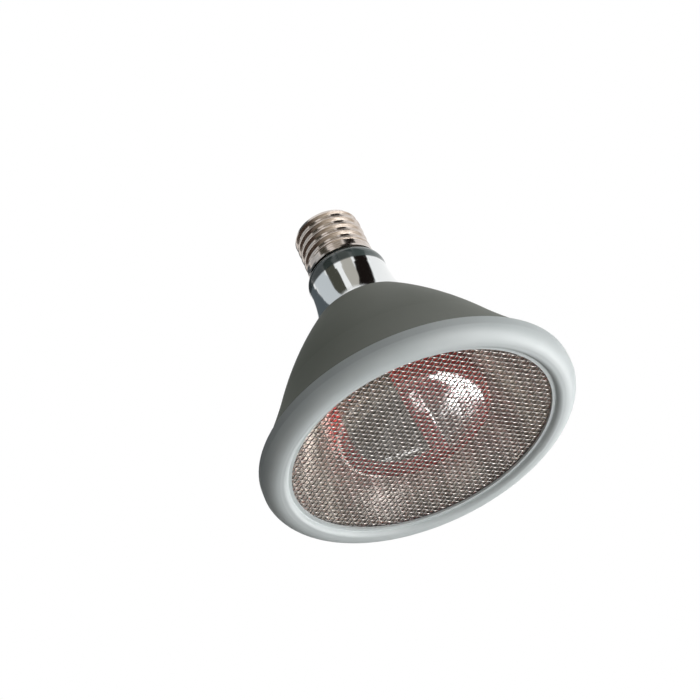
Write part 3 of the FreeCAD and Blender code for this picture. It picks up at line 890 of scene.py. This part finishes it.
@dataclass
class Housing(Assembly):
    """Spun dome, the polished bowl inside it and the bead that bonds the glass."""

    finishes: FinishTable = (
        (
            Enamel(
                "matt_heatproof_enamel",
                colour="#6b6f66",
                shade="#676b62",
                roughness=0.6,
                specular=0.2,
                peel_mm=0.6,
                peel_height_mm=0.004,
            ),
            ("housing_shell",),
        ),
        (SpunMirror("spun_polished_aluminium"), ("reflector",)),
        (Fired("fired_ceramic_cement", colour="#c5beb0", dark="#aaa394"), ("bonding_ring",)),
    )


@dataclass
class Bulb(Assembly):
    """Glass envelope with its film, stem, wires and filament."""

    finishes: FinishTable = (
        (LampGlass("ruby_and_silvered_glass"), ("glass_envelope",)),
        (
            BareMetal("evaporated_aluminium", colour="#dcdcdc", dark="#c8c8c8", roughness=0.12),
            ("mirror_coat",),
        ),
        (ThinGlass("drawn_lead_glass"), ("stem_glass",)),
        (
            BareMetal("coiled_tungsten", colour="#5a5a5e", dark="#3c3c40", roughness=0.4),
            ("filament",),
        ),
        (
            BareMetal("rolled_aluminium_sheet", colour="#c4c4c4", dark="#aaaaaa", roughness=0.3),
            ("heat_shield",),
        ),
        (
            BareMetal("drawn_nickel_wire", colour="#b5b0a6", dark="#98948c", roughness=0.3),
            ("inner_lead_a", "inner_lead_b"),
        ),
        (
            BareMetal("plated_copper_wire", colour="#b98468", dark="#9c6c52", roughness=0.35),
            ("lead_centre", "lead_side"),
        ),
        (
            BareMetal("drawn_molybdenum_wire", colour="#8f8f92", dark="#737376", roughness=0.35),
            ("support_wire_1", "support_wire_2", "support_wire_3"),
        ),
    )


@dataclass
class ScrewBase(Assembly):
    """Rolled shell with its insulator, contact, solder and cement."""

    finishes: FinishTable = (
        (
            BareMetal(
                "nickel_plated_brass",
                colour="#d6cdc6",
                dark="#b8aca2",
                roughness=0.16,
                spread=0.05,
                grain_mm=(3.0, 3.0, 0.25),
                bump_mm=0.004,
            ),
            ("screw_shell",),
        ),
        (Fired("basing_cement", colour="#6a5642", dark="#4e3f30"), ("cap_cement",)),
        (
            Fired("black_vitrite_glass", colour="#1a1a1e", dark="#101013", roughness=0.15),
            ("cap_insulator",),
        ),
        (
            BareMetal("pressed_brass", colour="#c8a868", dark="#a98a50", roughness=0.3),
            ("centre_contact",),
        ),
        (
            BareMetal("tin_solder", colour="#b8babc", dark="#9a9c9e", roughness=0.35),
            ("centre_solder",),
        ),
    )


@dataclass
class PictureCamera:
    """Camera at the photograph's angle, a square picture 700 pixels wide."""

    picture_px: float = 700.0
    focal_px: float = 2200.0
    sensor: float = 36.0
    tilt_deg: float = 54.54
    roll_deg: float = 24.39
    distance: float = 790.5
    origin_px: tuple[float, float] = (425.3, 446.0)
    clip_m: tuple[float, float] = (0.01, 50.0)

    def build(self) -> None:
        """Places the camera so that the lamp's origin and axis fall where the picture shows them."""
        tilt = math.radians(self.tilt_deg)
        roll = math.radians(self.roll_deg)
        across = -math.sin(tilt)
        axis = Vector((across * math.sin(roll), across * math.cos(roll), math.cos(tilt)))
        forward = Vector((0.0, 0.0, 1.0))
        lamp_y = (forward - axis * forward.dot(axis)).normalized()
        lamp_x = lamp_y.cross(axis)
        shift = [(place - self.picture_px / 2) / self.focal_px for place in self.origin_px]
        origin = Vector((*shift, 1.0)) * self.distance
        rows = Matrix((lamp_x, lamp_y, axis))
        place = -(rows @ origin) * MM
        right, down, ahead = rows.col[0], rows.col[1], rows.col[2]
        data = bpy.data.cameras.new("picture_camera")
        data.sensor_width = self.sensor
        data.lens = self.focal_px / self.picture_px * self.sensor
        data.clip_start, data.clip_end = self.clip_m
        camera = bpy.data.objects.new("picture_camera", data)
        bpy.context.scene.collection.objects.link(camera)
        turned = Matrix((right, -down, -ahead)).transposed()
        camera.matrix_world = Matrix.Translation(place) @ turned.to_4x4()
        bpy.context.scene.camera = camera


class Tone(Enum):
    """What a studio panel shows to glossy surfaces."""

    WHITE = "#ffffff"
    PALE = "#bab6ae"
    SKY = "#cbd0d4"
    SLATE = "#545b5f"
    MOSS = "#4a4a42"
    BLACK = "#1a1513"


@dataclass(frozen=True)
class Panel:
    """A flat panel that only glossy rays see, with directions in degrees."""

    name: str
    tone: Tone
    azimuth: tuple[float, float]
    elevation: tuple[float, float]
    strength: float = 1.0
    soft_edge: float = 0.12


@dataclass(frozen=True)
class Softbox:
    """A rectangular lamp aimed at the middle of the housing, with directions in degrees."""

    name: str
    azimuth: float
    elevation: float
    size_m: tuple[float, float]
    watts: float
    distance_m: float = 1.25


@dataclass
class Studio:
    """Pale floor that fades to white, soft lamps, and what shiny surfaces reflect: panels and a card."""

    paper: str = "#f4f4f2"
    floor_size_m: float = 8.0
    floor_drop_m: float = 0.0002
    floor_glow: float = 0.34
    floor_fade_m: tuple[float, float] = (0.12, 0.7)
    panel_distance_m: float = 1.6
    panel_aim_m: float = 0.06
    lamp_aim_m: float = 0.03
    ambient: float = 0.115
    card_height_m: float = 0.064
    card_size_m: float = 0.6
    card_hole_mm: float = 30.0
    card_change_m: tuple[float, float] = (-0.04, 0.03)
    card_tones: tuple[str, str] = ("#453a32", "#cfc6b8")
    panels: tuple[Panel, ...] = (
        Panel("white_right", Tone.WHITE, (-4, 88), (5, 78)),
        Panel("black_right", Tone.BLACK, (-52, -8), (5, 78)),
        Panel("pale_front", Tone.PALE, (-91, -56), (5, 78)),
        Panel("white_strip", Tone.WHITE, (-107, -92), (5, 78)),
        Panel("moss_front", Tone.MOSS, (-142, -108), (5, 78)),
        Panel("sky_left", Tone.SKY, (-198, -142), (5, 78)),
        Panel("slate_left", Tone.SLATE, (112, 160), (5, 78)),
        Panel("window_right", Tone.WHITE, (-40, 74), (-65, -28), 44.0, 0.17),
        Panel("window_streak", Tone.WHITE, (82, 86), (-64, -47), 16.0, 0.35),
        Panel("window_low", Tone.WHITE, (73, 79), (-42, -28), 12.0, 0.3),
        Panel("window_line", Tone.WHITE, (89, 102), (-29, -26), 12.0, 0.3),
        Panel("window_band", Tone.WHITE, (-34, -8), (-25, -19), 14.0, 0.2),
        Panel("under_left", Tone.PALE, (120, 200), (-70, -16), 5.0, 0.2),
        Panel("under_front", Tone.PALE, (-140, -45), (-82, -8), 5.0, 0.15),
        Panel("under_far", Tone.PALE, (96, 150), (-70, -36), 1.2, 0.2),
    )
    softboxes: tuple[Softbox, ...] = (
        Softbox("key", 12, -36, (0.8, 0.8), 11.2),
        Softbox("fill", -60, -36, (0.8, 0.8), 4.5),
        Softbox("kick", 70, -20, (0.6, 0.6), 3.6),
        Softbox("top", 10, 66, (1.2, 1.2), 12.0, 1.5),
    )

    def floor(self) -> None:
        """Lays the floor, seen from above only, so that it never hides the lamp's face.

        It fades to the white around it with distance, so no horizon shows.
        """
        clear_selection()
        bpy.ops.mesh.primitive_plane_add(size=self.floor_size_m, location=(0, 0, -self.floor_drop_m))
        piece = bpy.context.object
        piece.name = "studio_floor"
        made = bpy.data.materials.new("pale_paper_floor")
        tree = blank_tree(made)
        path = add_node(tree, "ShaderNodeLightPath")
        shape = add_node(tree, "ShaderNodeNewGeometry")
        upper = add_node(
            tree, "ShaderNodeMath", {0: 1.0, 1: shape.outputs["Backfacing"]}, operation="SUBTRACT"
        )
        place = add_node(tree, "ShaderNodeTexCoord").outputs["Object"]
        away = add_node(tree, "ShaderNodeVectorMath", {0: place}, operation="LENGTH")
        near = add_node(
            tree,
            "ShaderNodeMapRange",
            {0: away.outputs["Value"], 1: self.floor_fade_m[0], 2: self.floor_fade_m[1], 3: 1.0, 4: 0.0},
            interpolation_type="SMOOTHSTEP",
        )
        shown = path.outputs["Is Camera Ray"]
        for share in (upper.outputs[0], near.outputs[0]):
            shown = add_node(tree, "ShaderNodeMath", {0: shown, 1: share}, operation="MULTIPLY").outputs[0]
        passes = add_node(tree, "ShaderNodeBsdfTransparent")
        lit = add_node(tree, "ShaderNodeBsdfDiffuse", {0: linear(self.paper)})
        own = add_node(tree, "ShaderNodeEmission", {0: linear(self.paper), 1: self.floor_glow})
        paper = add_node(tree, "ShaderNodeAddShader", {0: lit.outputs[0], 1: own.outputs[0]})
        mixed = add_node(
            tree, "ShaderNodeMixShader", {0: shown, 1: passes.outputs[0], 2: paper.outputs[0]}
        )
        add_node(tree, "ShaderNodeOutputMaterial", {"Surface": mixed.outputs[0]})
        piece.data.materials.append(made)

    def world(self) -> None:
        """Surrounds the lamp with white for what is seen or mirrored, and soft light for the rest."""
        made = bpy.data.worlds.new("soft_studio")
        bpy.context.scene.world = made
        tree = blank_tree(made)
        path = add_node(tree, "ShaderNodeLightPath")
        shown = path.outputs["Is Camera Ray"]
        for kind in ("Is Glossy Ray", "Is Transmission Ray"):
            shown = add_node(
                tree, "ShaderNodeMath", {0: shown, 1: path.outputs[kind]}, operation="MAXIMUM"
            ).outputs[0]
        soft = add_node(tree, "ShaderNodeBackground", {0: grey(1.0), 1: self.ambient})
        white = add_node(tree, "ShaderNodeBackground", {0: grey(1.0), 1: 1.0})
        mixed = add_node(tree, "ShaderNodeMixShader", {0: shown, 1: soft.outputs[0], 2: white.outputs[0]})
        add_node(tree, "ShaderNodeOutputWorld", {"Surface": mixed.outputs[0]})

    def toward(self, azimuth_deg: float, elevation_deg: float) -> Vector:
        """Direction from the lamp, azimuth counted from +X towards +Y."""
        azimuth = math.radians(azimuth_deg)
        elevation = math.radians(elevation_deg)
        level = math.cos(elevation)
        return Vector((math.cos(azimuth) * level, math.sin(azimuth) * level, math.sin(elevation)))

    def aimed(self, where: Vector, target: Vector) -> Matrix:
        """Placement at a point with the local -Z aimed at a target."""
        turn = (target - where).to_track_quat("-Z", "Y")
        return Matrix.Translation(where) @ turn.to_matrix().to_4x4()

    def panel_material(self, rule: Panel) -> bpy.types.Material:
        """Even glow that fades out at the panel's edges, so that reflections have soft borders."""
        made = bpy.data.materials.new("panel_" + rule.name)
        tree = blank_tree(made)
        place = add_node(tree, "ShaderNodeTexCoord").outputs["Object"]
        split = add_node(tree, "ShaderNodeSeparateXYZ", {0: place})
        fades = []
        for across in split.outputs[:2]:
            off = add_node(tree, "ShaderNodeMath", {0: across}, operation="ABSOLUTE")
            fade = add_node(
                tree,
                "ShaderNodeMapRange",
                {0: off.outputs[0], 1: 0.5 - rule.soft_edge, 2: 0.5, 3: 1.0, 4: 0.0},
                interpolation_type="SMOOTHSTEP",
            )
            fades.append(fade.outputs[0])
        share = add_node(tree, "ShaderNodeMath", {0: fades[0], 1: fades[1]}, operation="MULTIPLY")
        passes = add_node(tree, "ShaderNodeBsdfTransparent")
        glow = add_node(tree, "ShaderNodeEmission", {0: linear(rule.tone.value), 1: rule.strength})
        mixed = add_node(
            tree, "ShaderNodeMixShader", {0: share.outputs[0], 1: passes.outputs[0], 2: glow.outputs[0]}
        )
        add_node(tree, "ShaderNodeOutputMaterial", {"Surface": mixed.outputs[0]})
        return made

    def panel(self, rule: Panel) -> None:
        """Stands a panel that only glossy rays see.

        Args:
            rule: Its name, tone and place.
        """
        azimuth = sum(rule.azimuth) / 2
        elevation = sum(rule.elevation) / 2
        half_turn = math.radians(rule.azimuth[1] - rule.azimuth[0]) / 2
        half_rise = math.radians(rule.elevation[1] - rule.elevation[0]) / 2
        reach = 2 * self.panel_distance_m
        width = reach * math.tan(half_turn) * math.cos(math.radians(elevation))
        height = reach * math.tan(half_rise)
        clear_selection()
        bpy.ops.mesh.primitive_plane_add(size=1.0)
        piece = bpy.context.object
        piece.name = "panel_" + rule.name
        target = Vector((0, 0, self.panel_aim_m))
        where = target + self.toward(azimuth, elevation) * self.panel_distance_m
        piece.matrix_world = self.aimed(where, target) @ Matrix.Diagonal((width, height, 1, 1))
        piece.data.materials.append(self.panel_material(rule))
        self.glossy_only(piece)

    def thread_card(self) -> None:
        """Lays a card around the neck that the screw thread's lower flanks reflect, dark to pale along X.

        Only its upper side shows, outside a hole for the neck.
        """
        made = bpy.data.materials.new("card_dark_to_pale")
        tree = blank_tree(made)
        place = add_node(tree, "ShaderNodeNewGeometry")
        split = add_node(tree, "ShaderNodeSeparateXYZ", {0: place.outputs["Position"]})
        away = add_node(tree, "ShaderNodeVectorMath", {0: place.outputs["Position"]}, operation="LENGTH")
        hole = math.hypot(self.card_hole_mm * MM, self.card_height_m)
        outside = add_node(
            tree, "ShaderNodeMath", {0: away.outputs["Value"], 1: hole}, operation="GREATER_THAN"
        )
        above = add_node(
            tree, "ShaderNodeMath", {0: 1.0, 1: place.outputs["Backfacing"]}, operation="SUBTRACT"
        )
        there = add_node(
            tree, "ShaderNodeMath", {0: outside.outputs[0], 1: above.outputs[0]}, operation="MULTIPLY"
        )
        dark_end, pale_end = self.card_change_m
        across = add_node(tree, "ShaderNodeMapRange", {0: split.outputs[0], 1: dark_end, 2: pale_end})
        dark, pale = self.card_tones
        tone = add_node(
            tree,
            "ShaderNodeMix",
            {"Factor": across.outputs[0], "A": linear(dark), "B": linear(pale)},
            data_type="RGBA",
        )
        passes = add_node(tree, "ShaderNodeBsdfTransparent")
        glow = add_node(tree, "ShaderNodeEmission", {0: tone.outputs["Result"], 1: 1.0})
        mixed = add_node(
            tree, "ShaderNodeMixShader", {0: there.outputs[0], 1: passes.outputs[0], 2: glow.outputs[0]}
        )
        add_node(tree, "ShaderNodeOutputMaterial", {"Surface": mixed.outputs[0]})
        clear_selection()
        bpy.ops.mesh.primitive_plane_add(size=self.card_size_m, location=(0, 0, self.card_height_m))
        piece = bpy.context.object
        piece.name = "card_thread"
        piece.data.materials.append(made)
        self.glossy_only(piece)

    def glossy_only(self, piece: bpy.types.Object) -> None:
        """Keeps a piece of the studio from everything but glossy rays."""
        piece.visible_camera = False
        piece.visible_diffuse = False
        piece.visible_transmission = False
        piece.visible_shadow = False

    def softbox(self, rule: Softbox) -> None:
        """Hangs a rectangular softbox aimed at the lamp.

        Args:
            rule: Its name, place, size and power.
        """
        data = bpy.data.lights.new("softbox_" + rule.name, "AREA")
        data.shape = "RECTANGLE"
        data.size, data.size_y = rule.size_m
        data.energy = rule.watts
        lamp = bpy.data.objects.new("softbox_" + rule.name, data)
        bpy.context.scene.collection.objects.link(lamp)
        target = Vector((0, 0, self.lamp_aim_m))
        where = target + self.toward(rule.azimuth, rule.elevation) * rule.distance_m
        lamp.matrix_world = self.aimed(where, target)
        lamp.visible_camera = False
        lamp.visible_glossy = False

    def build(self) -> None:
        """Builds the whole studio."""
        self.floor()
        self.world()
        for rule in self.panels:
            self.panel(rule)
        self.thread_card()
        for rule in self.softboxes:
            self.softbox(rule)


def main() -> None:
    """Builds the lamp, its studio and its camera."""
    logging.basicConfig(level=logging.INFO, format="%(name)s: %(message)s")
    scene = bpy.context.scene
    scene.view_settings.view_transform = "Standard"
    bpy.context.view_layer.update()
    for assembly in (FrontRing(), Housing(), Bulb(), ScrewBase(), PictureCamera(), Studio()):
        assembly.build()
        LOG.info("built %s", type(assembly).__name__)


if __name__ == "__main__":
    main()
